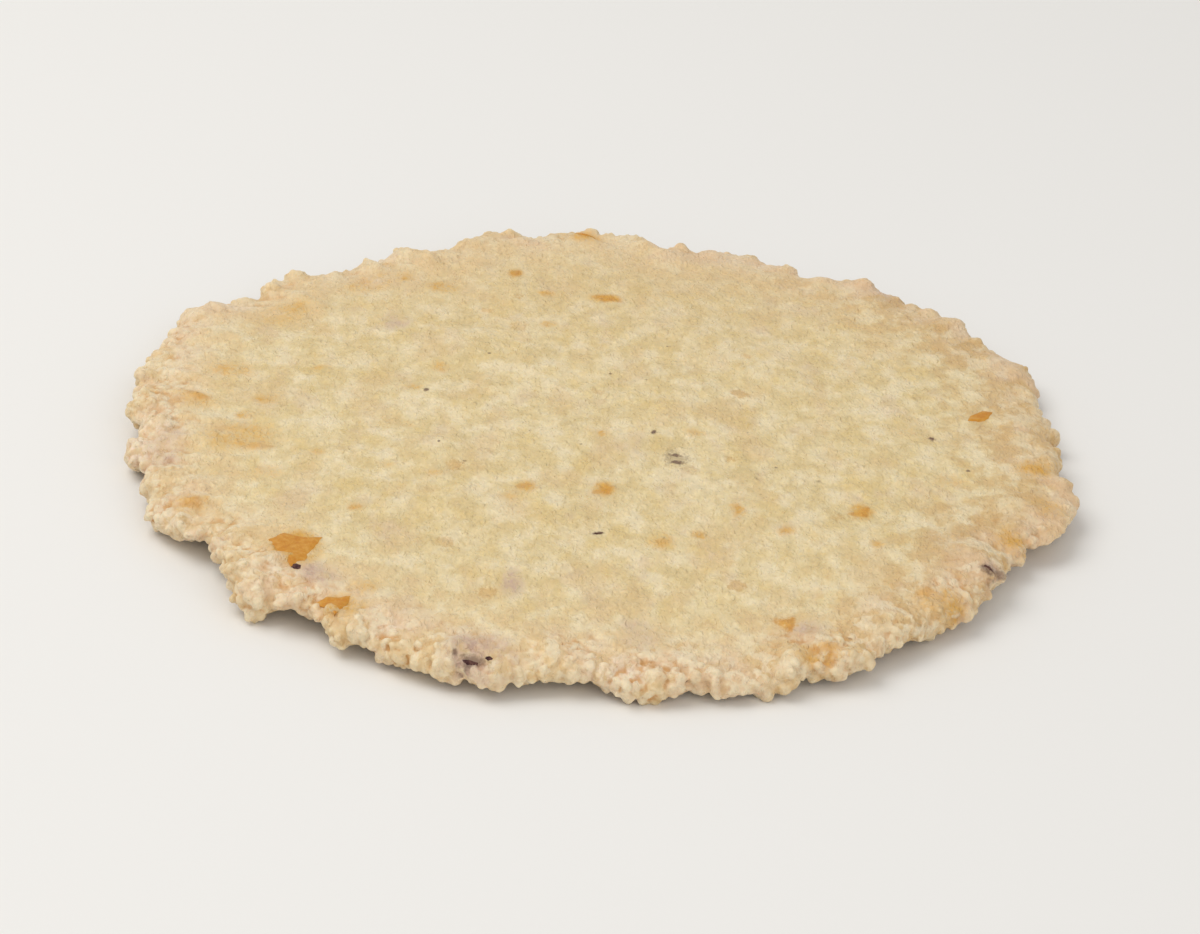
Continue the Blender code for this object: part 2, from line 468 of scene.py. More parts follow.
def stainAt(spot, places):
    # how strongly the strongest of the stains tints a place
    gone, full = 1.5, 0.2  # in half sizes from the middle
    most = 0
    for x, y, halfLength, halfWidth, turn, strength in places:
        away = spot.xy / mm - Vector((x, y))
        if away.length > gone * max(halfLength, halfWidth):
            continue
        away.rotate(Matrix.Rotation(-math.radians(turn), 2))
        share = fade(math.hypot(away.x / halfLength, away.y / halfWidth), gone, full)
        most = max(most, strength * share)
    return most


def markStains(dough):
    # red: shrimp; green: lilac; blue: blush
    lists = [doughLook[name] for name in ("shrimpStains", "lilacStains", "blushStains")]
    stains = dough.data.color_attributes.new("stains", "FLOAT_COLOR", "POINT")
    for vertex, mark in zip(dough.data.vertices, stains.data):
        mark.color = (*(stainAt(vertex.co, places) for places in lists), 1)


# Shader building

class Wire:
    # one shader value; sums and products of wires add their Math nodes
    def __init__(self, finish, socket):
        self.finish = finish
        self.socket = socket

    def maths(self, operation, first, second):
        return self.finish.add("ShaderNodeMath", {"operation": operation}, {0: first, 1: second})

    def __add__(self, other):
        return self.maths("ADD", self, other)

    def __radd__(self, other):
        return self.maths("ADD", other, self)

    def __sub__(self, other):
        return self.maths("SUBTRACT", self, other)

    def __rsub__(self, other):
        return self.maths("SUBTRACT", other, self)

    def __mul__(self, other):
        return self.maths("MULTIPLY", self, other)

    def __rmul__(self, other):
        return self.maths("MULTIPLY", other, self)


class Finish:
    def __init__(self, name):
        self.material = bpy.data.materials.new(name)
        self.material.use_nodes = True
        self.tree = self.material.node_tree
        self.shader = self.tree.nodes["Principled BSDF"]

    def put(self, socket, value):
        if isinstance(value, Wire):
            self.tree.links.new(value.socket, socket)
        else:
            socket.default_value = value

    def add(self, kind, settings=None, inputs=None, output=0):
        node = self.tree.nodes.new(kind)
        for name, value in (settings or {}).items():
            if name == "stops":
                ramp = node.color_ramp
                while len(ramp.elements) < len(value):
                    ramp.elements.new(0.5)
                for element, (position, tint) in zip(ramp.elements, value):
                    element.position = position
                    element.color = tint
            else:
                setattr(node, name, value)
        for name, value in (inputs or {}).items():
            self.put(node.inputs[name], value)
        return Wire(self, node.outputs[output])

    def set(self, **values):
        for name, value in values.items():
            self.put(self.shader.inputs[name.replace("_", " ")], value)

    def place(self):
        # the place on the piece in millimetres
        spot = self.add("ShaderNodeTexCoord", output="Object")
        return self.vector("SCALE", spot, Scale=1000)

    def vector(self, operation, first, second=None, output=0, **inputs):
        values = {0: first, **inputs}
        if second is not None:
            values[1] = second
        return self.add("ShaderNodeVectorMath", {"operation": operation}, values, output)

    def mapped(self, spot, location=(0, 0, 0), turn=0, scale=(1, 1, 1)):
        # a place seen from a pattern that is moved, turned and drawn out
        inputs = {"Vector": spot, "Location": location, "Rotation": (0, 0, turn), "Scale": scale}
        return self.add("ShaderNodeMapping", {"vector_type": "TEXTURE"}, inputs)

    def noise(self, spot, scale, detail=2, roughness=0.5, output=0):
        inputs = {"Vector": spot, "Scale": scale, "Detail": detail, "Roughness": roughness}
        return self.add("ShaderNodeTexNoise", {}, inputs, output)

    def cells(self, spot, scale, output="Distance"):
        return self.add("ShaderNodeTexVoronoi", {}, {"Vector": spot, "Scale": scale}, output)

    def domes(self, spot, scale):
        # rounded cells, 1 at their middles
        rim = 0.52
        return self.fade(self.cells(spot, scale), rim, 0)

    def fade(self, value, start, end, low=0, high=1):
        # low at start and high at end, clamped, with a soft turn at both
        inputs = {"Value": value, "From Min": start, "From Max": end}
        inputs.update({"To Min": low, "To Max": high})
        return self.add("ShaderNodeMapRange", {"interpolation_type": "SMOOTHSTEP"}, inputs)

    def blend(self, share, first, second, kind="MIX"):
        # the Mix node's colours are its sockets 6 and 7 and its output 2
        settings = {"data_type": "RGBA", "blend_type": kind}
        return self.add("ShaderNodeMix", settings, {0: share, 6: first, 7: second}, 2)

    def part(self, value, axis):
        return self.add("ShaderNodeSeparateXYZ", {}, {0: value}, axis)

    def ramp(self, value, stops):
        return self.add("ShaderNodeValToRGB", {"stops": stops}, {0: value})

    def bump(self, height, strength, distance):
        inputs = {"Strength": strength, "Distance": distance, "Height": height}
        return self.add("ShaderNodeBump", {}, inputs)


def colour(red, green, blue):
    # a screen colour from 0 to 255 as the linear colour that Blender wants
    def linear(value):
        share = value / 255
        return share / 12.92 if share <= 0.04045 else ((share + 0.055) / 1.055) ** 2.4

    return (linear(red), linear(green), linear(blue), 1)


# The dough's finish

doughLook = {
    # how many times a millimetre each pattern repeats
    "rates": {
        "lumps": 1.15,
        "grain": 3.4,
        "swells": 0.9,
        "warp": 1.3,
        "mottle": 0.46,
        "pearls": 1.15,
        "granules": 2.4,
        "warm": 0.17,
        "cool": 0.22,
        "gold": 0.34,
        "crumbs": 0.2,
        "rosy": 0.16,
        "crevicePatches": 0.16,
        "thinCells": 0.3,
        "pricks": 0.4,
    },
    # how strongly each layer of colour shows at its most
    "shares": {
        "warm": 0.55,
        "cool": 0.4,
        "gold": 0.4,
        "crumbs": 0.75,
        "far": 0.4,
        "rim": 0.7,
        "rimRight": 0.2,
        "rimPale": 0.6,
        "rosy": 0.5,
        "palePuffs": 0.75,
        "tanPuffs": 0.6,
        # the ochre in the hollows between puffs is partly toast and partly painted shade
        "crevices": 0.8,
        # painted light on the high points of the puffs
        "tops": 0.5,
        "thinCells": 0.6,
        "pricks": 0.75,
    },
    "drawnOut": (1, 1.6, 1),  # the face's patterns, as when the dough was rolled
    "mottleDrawn": (1.3, 1, 1),
    "warp": 0.8,  # how far the mottle's outlines wander
    "shade": {"lumps": 0.28, "grain": 0.24, "pearls": 0.06, "granules": 0.05},
    "rise": {"swells": 0.8, "pearls": 0.55, "granules": 0.4},
    "bumpHeight": 0.2 * mm,
    "roughness": 0.5,
    "shine": 0.4,
    # light that goes into the dough: its share, its reach by colour, the depth
    "glow": (0.35, (1.0, 0.85, 0.65), 0.8 * mm),
    "straw": colour(221, 197, 144),
    "cream": colour(229, 208, 160),
    "milk": colour(235, 217, 177),
    "tan": colour(219, 188, 136),
    "lilac": colour(218, 192, 160),
    "peach": colour(229, 199, 153),
    # tan of the rim towards the right end, partly the dough's own tone and partly painted shade
    "rightTanAndShade": colour(211, 175, 121),
    "gold": colour(225, 196, 128),
    # ochre of the hollows between puffs, partly toast and partly painted shade
    "ochre": colour(206, 146, 72),
    # pale: also the painted light on the high points of the puffs
    "pale": colour(237, 219, 184),
    "rose": colour(229, 199, 168),
    "honey": colour(210, 176, 102),
    "crumb": colour(208, 166, 100),
    "speck": colour(108, 78, 62),
    "amber": colour(202, 130, 34),
    "honeyAmber": colour(222, 174, 80),
    # Tints at their own places: x, y, half length, half width in millimetres, turn in degrees,
    # strength. The shrimp, blush and lilac stains are wide ones, kept in the stains attribute;
    # the amber cores and dark stains are small ones, each with its own nodes.
    "shrimp": colour(214, 164, 78),
    "shrimpStains": [
        (-38.2, -6.9, 5.0, 3.6, 8, 0.48),
        (-44.0, 0.5, 3.6, 2.4, -20, 0.4),
        (-41.7, -21.7, 2.4, 2.5, 30, 0.45),
        (0.7, -14.0, 1.3, 1.9, 0, 0.8),
        (6.8, -23.7, 1.7, 1.9, 0, 0.5),
        (-7.6, -14.6, 1.8, 1.5, 25, 0.45),
        (-17.1, -12.8, 1.6, 0.9, 10, 0.4),
        (-24.9, -21.0, 1.0, 1.2, 15, 0.5),
        (-20.8, -2.7, 1.2, 1.0, 0, 0.35),
        (-0.7, 30.7, 2.0, 1.3, -5, 0.75),
        (-11.2, 35.8, 1.0, 1.6, 0, 0.7),
        (27.6, -15.0, 1.5, 2.0, -15, 0.8),
        (33.0, 4.0, 2.6, 2.6, 0, 0.3),
        (35.4, -31.4, 3.6, 2.4, 35, 0.45),
        (22.9, -42.5, 3.2, 2.0, 10, 0.45),
        (-24.8, -40.2, 3.0, 2.4, -30, 0.6),
        (-0.1, -2.3, 0.5, 0.8, 0, 0.6),
        (-3.6, 46.9, 2.0, 2.2, 0, 0.8),
        (47.4, -10.4, 2.6, 3.0, 60, 0.4),
        (-30.4, -30.0, 2.9, 3.6, 0, 0.9),
        (-29.8, -9.4, 1.0, 1.0, 0, 0.5),
        (-36.6, 1.7, 1.6, 1.3, 10, 0.5),
        (-38.3, -2.2, 1.3, 1.0, 0, 0.58),
        (-22.4, -11.7, 1.2, 1.0, 0, 0.34),
        (-22.6, -36.5, 2.0, 1.6, 10, 0.42),
        (-31.3, 9.6, 1.6, 1.1, 0, 0.5),
        (-20.9, 6.2, 1.1, 1.2, 0, 0.5),
        (46.7, -2.5, 3.0, 2.4, 30, 0.5),
        (43.3, -17.7, 2.4, 2.6, 20, 0.5),
        (36.6, -32.2, 1.6, 1.2, 35, 0.62),
        (37.2, -6.8, 2.6, 2.0, 0, 0.34),
        (-23.8, 33.5, 1.2, 1.2, 0, 0.58),
        (-19.3, 31.5, 2.4, 1.6, -10, 0.58),
        (-18.2, 11.3, 1.2, 1.6, 30, 0.5),
        (-7.5, 30.9, 1.2, 1.1, 0, 0.5),
        (-6.8, 23.3, 1.2, 1.0, 0, 0.42),
        (10.0, -0.6, 1.4, 1.0, 0, 0.42),
        (14.6, -16.7, 1.0, 2.2, 10, 0.5),
        (19.7, -20.3, 1.2, 1.6, -20, 0.34),
        (10.7, -21.8, 1.0, 1.0, 0, 0.58),
        (29.1, -21.9, 1.0, 1.0, 0, 0.42),
        (-9.2, -16.7, 1.4, 1.0, 20, 0.34),
        (-27.0, 32.0, 5.0, 2.4, 35, 0.42),
        (-36.5, 23.0, 5.0, 3.4, 45, 0.37),
        (-41.0, 8.5, 3.4, 2.4, 0, 0.4),
        (-35.5, -14.5, 4.0, 2.2, 5, 0.3),
    ],
    "amberCores": [
        (0.9, -14.0, 0.9, 1.1, 0, 0.85),
        (0.2, -14.6, 1.0, 0.5, 20, 0.6),
        (27.9, -15.0, 0.8, 1.1, -20, 0.95),
        (27.0, -15.6, 1.0, 0.5, 15, 0.7),
        (19.6, -37.5, 1.2, 1.3, 10, 0.9),
        (-0.7, 30.7, 1.7, 0.8, -8, 0.8),
        (-11.2, 35.8, 0.7, 0.9, 0, 0.75),
        (-3.6, 46.7, 1.5, 1.2, 0, 0.9),
        (-24.9, -21.0, 0.8, 0.5, 15, 0.5),
        (-7.9, -14.5, 0.9, 0.6, 25, 0.5),
        (-41.9, -21.7, 1.2, 1.1, 30, 0.55),
        (-43.8, 1.2, 1.4, 0.9, -20, 0.5),
        (-36.2, -9.0, 1.6, 0.8, 8, 0.3),
        (-39.8, -5.4, 1.8, 0.7, 12, 0.25),
        (33.6, -30.6, 1.4, 0.7, 35, 0.5),
        (23.8, -41.6, 1.1, 0.7, 10, 0.5),
        (6.9, -23.8, 0.9, 0.7, 0, 0.4),
        (-14.0, 26.0, 0.9, 0.7, 15, 0.35),
        (15.5, 18.5, 0.8, 0.8, 0, 0.3),
    ],
    "darkStains": [
        (8.0, -5.7, 0.8, 0.5, 0, 0.85),
        (8.2, -7.3, 0.85, 0.5, 0, 0.9),
        (7.9, -6.5, 1.5, 1.9, 0, 0.3),
        (0.2, -22.9, 0.75, 0.35, 15, 0.95),
        (5.5, -1.4, 0.35, 0.4, 0, 0.9),
        (35.7, 2.6, 0.4, 0.5, 0, 0.95),
        (-19.4, 5.3, 0.3, 0.4, 0, 0.85),
        (39.3, -4.2, 0.28, 0.38, 0, 0.85),
        (23.2, -9.1, 0.3, 0.35, 0, 0.5),
        (40.3, -25.6, 0.9, 0.7, -20, 0.8),
        (41.8, -25.0, 1.0, 0.6, 10, 0.6),
        (-11.2, -48.4, 1.6, 0.8, -10, 0.7),
        (-12.9, -47.7, 0.35, 0.4, 0, 0.8),
    ],
    "blush": colour(237, 214, 190),
    "blushStains": [
        (-48.5, -9.0, 4.5, 8.5, 4, 0.41),
        (-45.0, 6.0, 4.0, 6.0, -10, 0.25),
        (-43.0, -25.0, 4.5, 5.0, 30, 0.28),
        (-32.0, -34.5, 4.5, 4.5, 0, 0.28),
        (-20.5, -43.5, 4.0, 4.0, 0, 0.3),
        (3.5, -47.5, 4.5, 2.5, 0, 0.39),
        (35.5, -36.5, 4.5, 2.6, 40, 0.28),
        (-41.0, 24.0, 5.0, 4.0, -30, 0.19),
    ],
    "shadowLilac": colour(193, 161, 142),
    "lilacStains": [
        (-10.4, -47.0, 4.2, 3.2, -5, 0.55),
        (40.6, -25.9, 2.0, 2.6, 0, 0.5),
        (-24.0, 21.9, 2.2, 2.6, 10, 0.4),
        (-8.2, -34.0, 1.8, 2.8, 0, 0.5),
        (5.2, -41.4, 3.5, 3.6, 0, 0.3),
        (4.1, -4.2, 4.0, 3.5, 15, 0.2),
        (21.6, -38.7, 2.2, 2.4, 0, 0.4),
        (-27.5, -35.0, 3.4, 3.0, -30, 0.4),
        (-45.7, -10.5, 2.6, 5.5, 0, 0.35),
        (31.8, 37.6, 5.0, 2.6, -35, 0.3),
    ],
}


class DoughFinish(Finish):
    # the dough's material, with the values that its layers share
    def __init__(self):
        super().__init__("bakedDough")
        self.look = doughLook
        self.rates = doughLook["rates"]
        self.shares = doughLook["shares"]
        rates = self.rates
        self.spot = self.place()
        upward = self.part(self.add("ShaderNodeNewGeometry", output="Normal"), 2)
        self.top = self.fade(upward, -0.25, 0.25)  # 0 on the underside
        relief = {"attribute_name": "relief"}
        marks = self.add("ShaderNodeAttribute", relief)
        self.height = self.part(marks, 0)
        self.puffTone = self.part(marks, 1)
        self.inset = self.part(marks, 2) * (reliefLook["insetRange"] / mm)  # in millimetres
        self.beaded = self.add("ShaderNodeAttribute", relief, output="Alpha")
        self.drawn = self.mapped(self.spot, scale=self.look["drawnOut"])
        self.lumps = self.noise(self.drawn, rates["lumps"], 3, 0.55)
        self.grain = self.noise(self.drawn, rates["grain"], 2, 0.5)
        self.swells = self.noise(self.moved(3, 8, 1), rates["swells"], 1)
        wander = self.noise(self.drawn, rates["warp"], 1, 0.5, "Color")
        wander = self.vector("SCALE", wander, Scale=self.look["warp"])
        warped = self.vector("ADD", self.drawn, wander)
        mottled = self.mapped(warped, scale=self.look["mottleDrawn"])
        self.mottle = self.noise(mottled, rates["mottle"], 4, 0.55)
        self.pearls = self.domes(warped, rates["pearls"])
        self.granules = self.domes(warped, rates["granules"])
        self.ragged = (self.grain - 0.5) * 1.6 + (self.lumps - 0.5) * 2.0
        # 1 along the edge, 0 over the face, with a border that wanders
        self.edge = self.fade(self.inset + (self.mottle - 0.5) * 26, 14, 2)

    def moved(self, x, y, z):
        # the drawn-out place in another part of the patterns, so that no two fall together
        return self.mapped(self.drawn, (x, y, z))

    def patches(self, spot, name, detail, start, end):
        # soft patches of one of the layers, at their share
        pattern = self.noise(spot, self.rates[name], detail, 0.55)
        return self.fade(pattern, start, end) * self.shares[name]

    def faceTone(self):
        # mottling of all sizes: straw, cream and milk-white, then tan, lilac and gold
        look = self.look
        tone = self.ramp(
            self.mottle, [(0.38, look["straw"]), (0.5, look["cream"]), (0.62, look["milk"])]
        )
        warm = self.patches(self.moved(31, 17, 5), "warm", 4, 0.5, 0.66)
        tone = self.blend(warm, tone, look["tan"])
        cool = self.patches(self.moved(-43, 27, 9), "cool", 4, 0.56, 0.7)
        tone = self.blend(cool, tone, look["lilac"])
        gold = self.patches(self.moved(12, -52, 3), "gold", 3, 0.52, 0.68)
        return self.blend(gold, tone, look["gold"])

    def addCrumbs(self, tone):
        # crumbs of shrimp ground into the dough; a cell's own colour picks its size and strength
        crumb = self.cells(self.spot, self.rates["crumbs"])
        own = self.cells(self.spot, self.rates["crumbs"], "Color")
        size = self.fade(self.part(own, 0), 0.45, 1.0, -0.1, 0.2)
        mask = self.fade(crumb + self.ragged * 0.14, size + 0.07, size - 0.03)
        share = mask * self.part(own, 1) * self.shares["crumbs"]
        return self.blend(share, tone, self.look["crumb"])

    def addRim(self, tone):
        # peach and rose skin with pale puffs, ochre in the hollows between puffs that is partly
        # toast and partly painted shade, and painted light on the puffs' high points; distances
        # are in millimetres
        look = self.look
        shares = self.shares
        right = self.fade(self.part(self.spot, 0), 5, 40)
        # tan towards the right end, partly the dough's own tone and partly painted shade
        rimTone = self.blend(right, look["peach"], look["rightTanAndShade"])
        rimPale = self.fade(self.mottle, 0.46, 0.6) * shares["rimPale"]
        rimTone = self.blend(rimPale, rimTone, look["pale"])
        far = self.fade(self.part(self.spot, 1), 5, 48)
        tone = self.blend(far * shares["far"], tone, look["tan"])
        rim = self.edge * (right * shares["rimRight"] + shares["rim"])
        tone = self.blend(rim, tone, rimTone)
        band = self.fade(self.inset + (self.lumps - 0.5) * 6, 9, 3)
        beadBand = band * (self.beaded * 0.75 + 0.25)
        rosyPlace = self.mapped(self.spot, (5, 61, 2))
        rosy = self.fade(self.noise(rosyPlace, self.rates["rosy"], 2), 0.48, 0.6)
        tone = self.blend(rosy * band * shares["rosy"], tone, look["rose"])
        tone = self.blend(self.softStain(2), tone, look["blush"])
        palePuffs = self.fade(self.puffTone, 0.55, 0.85) * beadBand * shares["palePuffs"]
        tone = self.blend(palePuffs, tone, look["pale"])
        tanPuffs = self.fade(self.puffTone, 0.35, 0.05) * beadBand * shares["tanPuffs"]
        tone = self.blend(tanPuffs, tone, look["tan"])
        patchy = self.noise(self.spot, self.rates["crevicePatches"], 3)
        patchy = self.fade(patchy, 0.42, 0.6, 0.25, 1)
        # ochre in the hollows between the puffs: partly toasted dough, partly painted shade
        crevices = self.fade(self.height, 0.52, 0.38) * beadBand * patchy
        tone = self.blend(crevices * shares["crevices"], tone, look["ochre"])
        # painted light: the high points of the puffs made paler
        tops = self.fade(self.height, 0.54, 0.68) * beadBand * shares["tops"]
        return self.blend(tops, tone, look["pale"])

    def softStain(self, channel):
        # a wide tint of the stains attribute, with a ragged and broken edge
        marks = self.add("ShaderNodeAttribute", {"attribute_name": "stains"})
        broken = self.ragged * 0.7 + (self.mottle - 0.5) * 3.5
        strength = self.part(marks, channel) * (1 + broken)
        return self.fade(strength, 0.05, 0.85)

    def addStains(self, tone):
        # lilac and shrimp tints, then the amber cores and the dark spots
        look = self.look
        tone = self.blend(self.softStain(1) * self.top, tone, look["shadowLilac"])
        tone = self.blend(self.softStain(0) * self.top, tone, look["shrimp"])
        uneven = (self.grain - 0.5) * 0.7 + (self.lumps - 0.5) * 1.9
        cores = self.smallStains(uneven, look["amberCores"], 0.8)
        amber = self.blend(self.lumps, look["amber"], look["honeyAmber"])
        tone = self.blend(cores * self.top, tone, amber)
        dark = self.smallStains(self.ragged * 0.8, look["darkStains"], 1.0)
        return self.blend(dark * self.top, tone, look["speck"])

    def smallStains(self, rough, places, soft):
        # tinted spots with rough and soft edges, as one mask
        edge = 0.8  # in half sizes from the middle
        anyHeight = 1000
        total = None
        for x, y, halfLength, halfWidth, turn, strength in places:
            size = (halfLength, halfWidth, anyHeight)
            inside = self.mapped(self.spot, (x, y, 0), math.radians(turn), size)
            away = self.vector("LENGTH", inside, output="Value")
            mask = self.fade(away + rough, edge + soft / 2, edge - soft / 2, 0, strength)
            total = mask if total is None else total.maths("MAXIMUM", total, mask)
        return total

    def addUnderside(self, tone):
        # pale dough full of round thin cells, some of them left out
        below = self.mapped(self.spot, (7, 3, 0))
        under = self.cells(below, self.rates["thinCells"])
        own = self.part(self.cells(below, self.rates["thinCells"], "Color"), 1)
        mask = self.fade(under + (self.grain - 0.5) * 0.25, 0.4, 0.22)
        mask = mask * self.fade(own, 0.25, 0.5) * (1 - self.top) * (1 - self.edge)
        return self.blend(mask * self.shares["thinCells"], tone, self.look["honey"])

    def addPricks(self, tone):
        # tiny dark pricks, in about one cell out of ten
        prick = self.cells(self.spot, self.rates["pricks"])
        own = self.part(self.cells(self.spot, self.rates["pricks"], "Color"), 2)
        specks = self.fade(prick + (self.grain - 0.5) * 0.14, 0.1, 0.05)
        specks = specks * self.fade(own, 0.9, 0.92)
        return self.blend(specks * self.shares["pricks"], tone, self.look["speck"])

    def addShade(self, tone):
        # lumps and grain, as light and shade in the colour
        depths = self.look["shade"]
        shade = 1.0 + (self.lumps - 0.5) * depths["lumps"] + (self.grain - 0.5) * depths["grain"]
        shade = shade + (self.pearls - 0.5) * depths["pearls"]
        shade = shade + (self.granules - 0.5) * depths["granules"]
        grey = self.add("ShaderNodeCombineColor", {}, {0: shade, 1: shade, 2: shade})
        return self.blend(1.0, tone, grey, "MULTIPLY")

    def skinBump(self):
        rise = self.look["rise"]
        height = self.swells * rise["swells"] + self.pearls * rise["pearls"]
        height = height + self.granules * rise["granules"]
        return self.bump(height, 1.0, self.look["bumpHeight"])


def finishDough():
    finish = DoughFinish()
    tone = finish.faceTone()
    tone = finish.addCrumbs(tone)
    tone = finish.addRim(tone)
    tone = finish.addStains(tone)
    tone = finish.addUnderside(tone)
    tone = finish.addPricks(tone)
    tone = finish.addShade(tone)
    glow, glowRadius, glowDepth = doughLook["glow"]
    finish.set(
        Base_Color=tone,
        Roughness=doughLook["roughness"] + (finish.grain - 0.5) * 0.3,
        Normal=finish.skinBump(),
        Subsurface_Weight=glow,
        Subsurface_Radius=glowRadius,
        Subsurface_Scale=glowDepth,
        Specular_IOR_Level=doughLook["shine"],
    )
    return finish.material


# Shrimp flakes and dark specks

# shapes that reach about one unit from the middle, anticlockwise
flakeOutlines = {
    "kite": [
        (-1.0, 0.5),
        (-0.75, 0.1),
        (0.0, -1.0),
        (0.45, -0.55),
        (1.05, 0.8),
        (0.3, 0.75),
        (-0.5, 0.95),
    ],
    "shard": [(-1.0, 0.2), (-0.6, -0.5), (0.2, -0.75), (1.0, -0.15), (0.7, 0.55), (-0.3, 0.7)],
    "chip": [(-0.9, 0.1), (-0.5, -0.75), (0.45, -0.8), (0.95, 0.0), (0.5, 0.8), (-0.35, 0.85)],
    "thread": [
        (-1.0, 0.3),
        (-0.8, -0.6),
        (-0.1, -0.35),
        (0.6, -0.5),
        (1.0, 0.4),
        (0.5, 0.32),
        (-0.2, 0.5),
    ],
}

flakeLook = {
    "thickness": 0.5 * mm,
    "proud": 0.14 * mm,  # how far it stands out of the dough
    "rimDip": 0.2 * mm,  # how far its rim goes down again
    "raggedness": 0.5,
    "smoothing": 8,
    "colours": [  # each with its position on the ramp
        (0.35, colour(195, 126, 32)),
        (0.5, colour(202, 138, 42)),
        (0.68, colour(210, 153, 66)),
    ],
    "bump": (0.4, 0.12 * mm),  # strength and height
    "roughness": 0.5,
    "shine": 0.35,
    "glow": (0.1, (1.0, 0.6, 0.2), 0.4 * mm),
    # x, y, half length, half width in millimetres, turn in degrees, outline
    "places": [
        (-30.4, -30.4, 2.8, 3.7, 0, "kite"),
        (-25.4, -39.9, 1.8, 2.0, 5, "kite"),
        (41.2, 8.9, 2.2, 1.3, 50, "shard"),
        (-3.6, 46.5, 1.3, 1.2, 0, "shard"),
    ],
}

speckLook = {
    "thickness": 0.4 * mm,
    "proud": 0.05 * mm,
    "rimDip": 0.08 * mm,
    "raggedness": 0.15,
    "smoothing": 3,
    "colours": [(0.4, colour(58, 24, 26)), (0.62, colour(98, 64, 54))],
    "bump": (0.3, 0.1 * mm),
    "roughness": 0.6,
    "shine": 0.25,
    "places": [
        (-29.9, -33.8, 0.65, 0.85, -20, "shard"),
        (-11.4, -48.4, 0.9, 0.45, -10, "thread"),
        (-9.6, -47.7, 0.5, 0.4, 25, "chip"),
        (0.3, -22.9, 0.55, 0.25, 15, "thread"),
        (40.3, -25.6, 0.6, 0.35, -35, "thread"),
    ],
}


def cutFlake(outline, raggedness, seed):
    # a flat flake one unit in size, with its edges roughened
    bpy.ops.object.select_all(action="DESELECT")
    bpy.ops.mesh.primitive_circle_add(vertices=len(outline), radius=1, fill_type="NGON")
    flake = bpy.context.object
    for vertex, (across, along) in zip(flake.data.vertices, outline):
        vertex.co = (across, along, 0)
    bpy.ops.object.mode_set(mode="EDIT")
    bpy.ops.mesh.select_all(action="SELECT")
    bpy.ops.mesh.poke()
    bpy.ops.mesh.subdivide(number_cuts=3, smoothness=0, fractal=raggedness, seed=seed)
    bpy.ops.object.mode_set(mode="OBJECT")
    return flake


def pressOn(flake, look, dough):
    # the flake is laid on the dough, lifted a little, dipped at its rim and given its thickness
    applyModifier(
        flake,
        "SHRINKWRAP",
        target=dough,
        wrap_method="PROJECT",
        use_project_z=True,
        use_negative_direction=True,
        use_positive_direction=False,
    )
    smoothOver(flake, look["smoothing"], use_x=False, use_y=False)
    pick(flake)
    bpy.ops.object.mode_set(mode="EDIT")
    bpy.ops.mesh.select_all(action="SELECT")
    bpy.ops.mesh.normals_make_consistent(inside=False)
    bpy.ops.transform.translate(value=(0, 0, look["proud"]))
    bpy.ops.mesh.select_all(action="DESELECT")
    bpy.ops.mesh.select_mode(type="VERT")
    bpy.ops.mesh.select_non_manifold()
    bpy.ops.transform.translate(value=(0, 0, -look["rimDip"]))
    bpy.ops.object.mode_set(mode="OBJECT")
    upward = sum(face.normal.z for face in flake.data.polygons)
    inward = -1 if upward > 0 else 1
    applyModifier(flake, "SOLIDIFY", thickness=look["thickness"], offset=inward)


def makeFlakes(name, look, dough):
    above = 10  # millimetres
    flatness = 0.0001  # takes away the heights that the roughening gives
    made = []
    for order, (x, y, halfLength, halfWidth, turn, kind) in enumerate(look["places"]):
        flake = cutFlake(flakeOutlines[kind], look["raggedness"], order)
        flake.scale = (halfLength * mm, halfWidth * mm, flatness)
        flake.rotation_euler = (0, 0, math.radians(turn))
        flake.location = (x * mm, y * mm, above * mm)
        fixPlace(flake)
        pressOn(flake, look, dough)
        made.append(flake)
    piece = made[0]
    joinInto(piece, made[1:])
    pick(piece)
    bpy.ops.object.mode_set(mode="EDIT")
    bpy.ops.mesh.select_all(action="SELECT")
    bpy.ops.mesh.normals_make_consistent(inside=False)
    bpy.ops.object.mode_set(mode="OBJECT")
    piece.name = name
    piece.data.name = name
    bpy.ops.object.shade_smooth_by_angle(angle=math.radians(50))
    return piece


def finishFlakes():
    finish = Finish("bakedShrimp")
    spot = finish.place()
    tone = finish.ramp(finish.noise(spot, 1.6, 3, 0.6), flakeLook["colours"])
    grain = finish.noise(spot, 4, 2)
    glow, glowRadius, glowDepth = flakeLook["glow"]
    finish.set(
        Base_Color=tone,
        Roughness=flakeLook["roughness"] + (grain - 0.5) * 0.2,
        Normal=finish.bump(grain, *flakeLook["bump"]),
        Subsurface_Weight=glow,
        Subsurface_Radius=glowRadius,
        Subsurface_Scale=glowDepth,
        Specular_IOR_Level=flakeLook["shine"],
    )
    return finish.material


def finishSpecks():
    finish = Finish("darkSpeck")
    patches = finish.noise(finish.place(), 2.5, 2)
    finish.set(
        Base_Color=finish.ramp(patches, speckLook["colours"]),
        Roughness=speckLook["roughness"] + (patches - 0.5) * 0.2,
        Normal=finish.bump(patches, *speckLook["bump"]),
        Specular_IOR_Level=speckLook["shine"],
    )
    return finish.material


# Stage

stageLook = {
    "floor": colour(236, 234, 230),
    "elevation": 28.9,  # degrees above the cracker
    "roll": 3.8,
    "lens": 125,
    "distance": 0.45,
    "aim": (0.0, -0.001, 0.0),
    "floorSize": 4,
    "floorGap": 0.02 * mm,  # under the cracker, so that the two faces don't mix
    "lights": [  # where it stands, its size, its power in watts, its colour
        ((-0.34, 0.02, 0.58), 0.5, 2.2, (1.0, 0.985, 0.96)),
        ((0.3, -0.62, 0.32), 0.8, 1.4, (0.99, 0.99, 1.0)),
    ],
    "room": 0.58,  # strength of the light all round
}


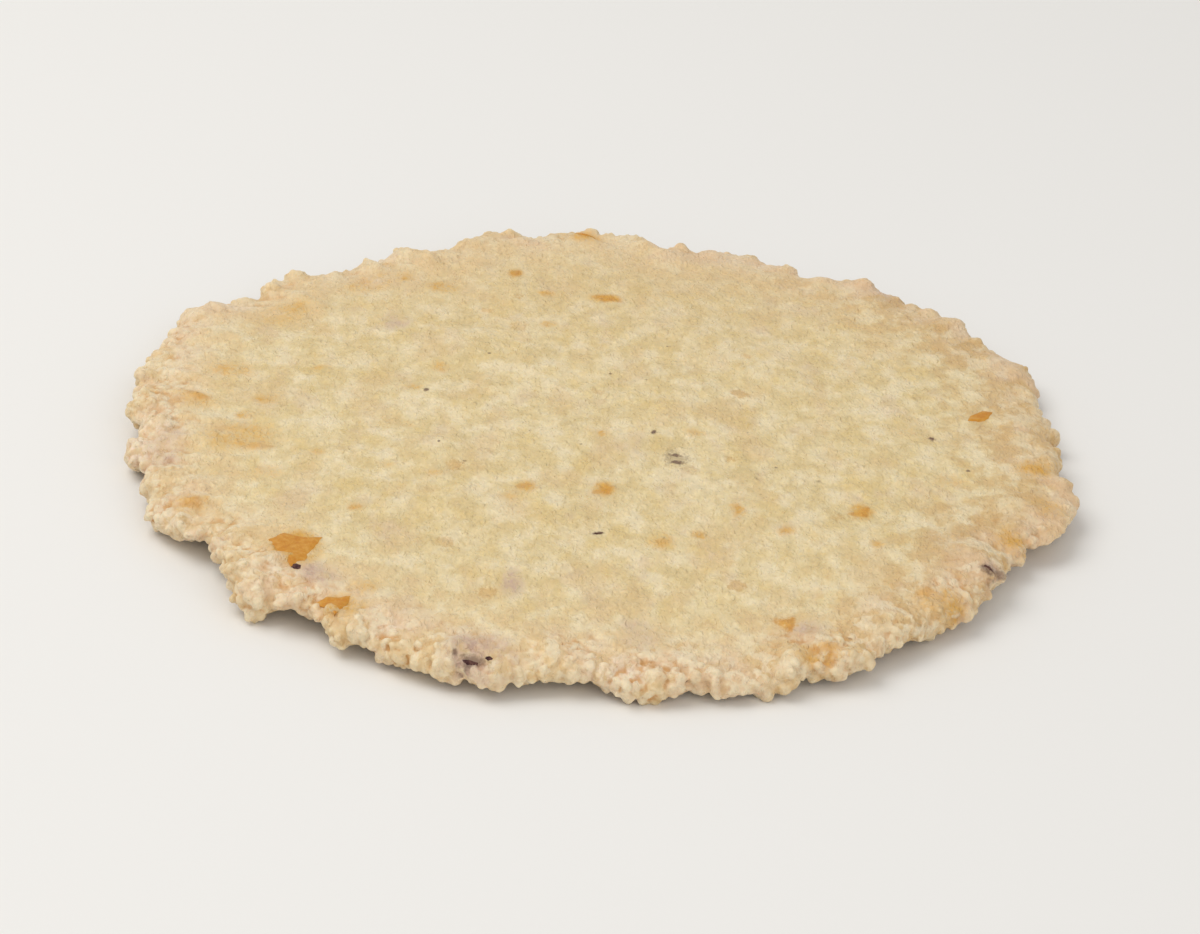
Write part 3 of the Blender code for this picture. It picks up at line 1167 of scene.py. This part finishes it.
def makeFloor():
    bpy.ops.object.select_all(action="DESELECT")
    place = (0, 0, -stageLook["floorGap"])
    bpy.ops.mesh.primitive_plane_add(size=stageLook["floorSize"], location=place)
    floor = bpy.context.object
    floor.name = "floor"
    finish = Finish("paleFloor")
    finish.set(Base_Color=stageLook["floor"], Roughness=0.75)
    floor.data.materials.append(finish.material)


def makeCamera():
    tilt = math.radians(stageLook["elevation"])
    toCamera = Vector((0, -math.cos(tilt), math.sin(tilt)))
    place = Vector(stageLook["aim"]) + toCamera * stageLook["distance"]
    bpy.ops.object.camera_add(location=place)
    camera = bpy.context.object
    camera.data.lens = stageLook["lens"]
    camera.data.clip_start = 5 * mm
    camera.rotation_euler = (-toCamera).to_track_quat("-Z", "Y").to_euler()
    camera.rotation_euler.rotate_axis("Z", math.radians(stageLook["roll"]))
    bpy.context.scene.camera = camera


def makeLight():
    for place, size, power, tint in stageLook["lights"]:
        bpy.ops.object.light_add(type="AREA", location=place)
        light = bpy.context.object
        light.data.size = size
        light.data.energy = power
        light.data.color = tint
        light.rotation_euler = (-Vector(place)).to_track_quat("-Z", "Y").to_euler()
    world = bpy.data.worlds.new("paleRoom")
    world.use_nodes = True
    background = world.node_tree.nodes["Background"]
    background.inputs["Color"].default_value = (1, 1, 1, 1)
    background.inputs["Strength"].default_value = stageLook["room"]
    bpy.context.scene.world = world
    bpy.context.scene.view_settings.view_transform = "Standard"


print("dough sheet")
dough, doughOutline = makeSheet()
print("rim puffs")
puffsMade = growPuffs(dough, doughOutline)
print("baked skin")
bakeSkin(dough, doughOutline)
markRelief(dough, doughOutline, puffsMade)
markStains(dough)
dough.data.materials.append(finishDough())
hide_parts("cracker")
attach(dough, "root")

print("shrimp flakes and dark specks")
flakes = makeFlakes("shrimpFlakes", flakeLook, dough)
flakes.data.materials.append(finishFlakes())
specks = makeFlakes("darkSpecks", speckLook, dough)
specks.data.materials.append(finishSpecks())
for piece in (flakes, specks):
    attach(piece, "root")

print("floor, camera and light")
makeFloor()
makeCamera()
makeLight()
